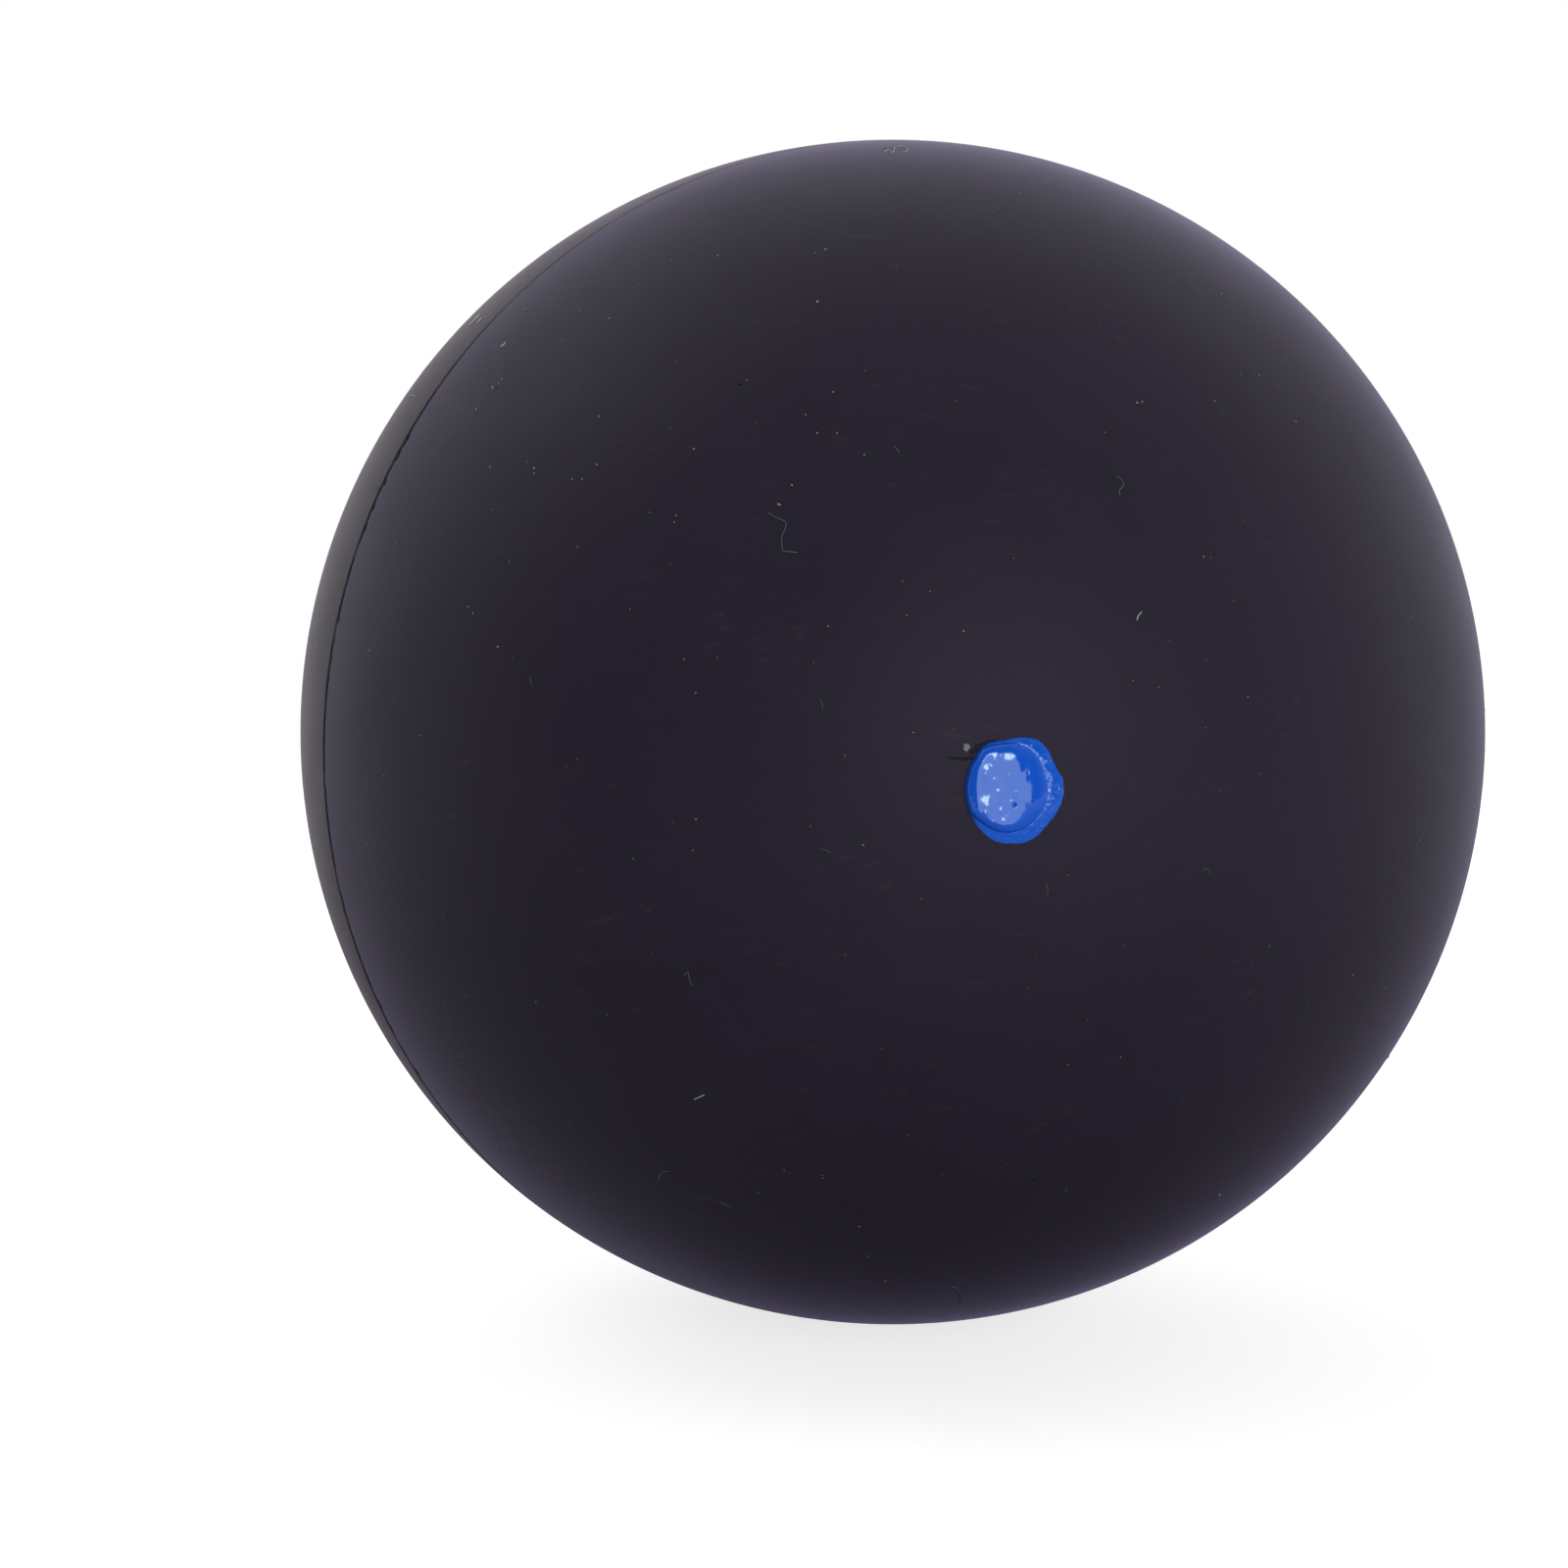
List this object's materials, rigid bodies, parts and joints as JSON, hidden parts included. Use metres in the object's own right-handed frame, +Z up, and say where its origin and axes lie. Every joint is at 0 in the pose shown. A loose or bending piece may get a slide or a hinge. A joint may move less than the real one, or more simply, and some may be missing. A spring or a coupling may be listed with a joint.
{
  "type": "squash ball",
  "caption": "Small hollow matte black rubber ball bonded from half shells along a fine seam groove, with a raised glossy blue paint dot.",
  "frame": {"origin": "the ball's centre", "axes": "the seam lies in the XZ plane and the front half with its dot faces -Y, +Z is up and +X is to the right seen from the front"},
  "size_m": [0.04, 0.0402, 0.04],
  "materials": {
    "shell_rubber": "matte, buffed and dusty",
    "cured_adhesive": "dull and uneven",
    "dot_paint": "glossy thick paint with small bubble pits"
  },
  "bodies": {
    "root": {"front_half_shell": "shell_rubber", "rear_half_shell": "shell_rubber", "seam_adhesive": "cured_adhesive", "dot_base_coat": "dot_paint", "dot_top_drop": "dot_paint"}
  },
  "joints": []
}
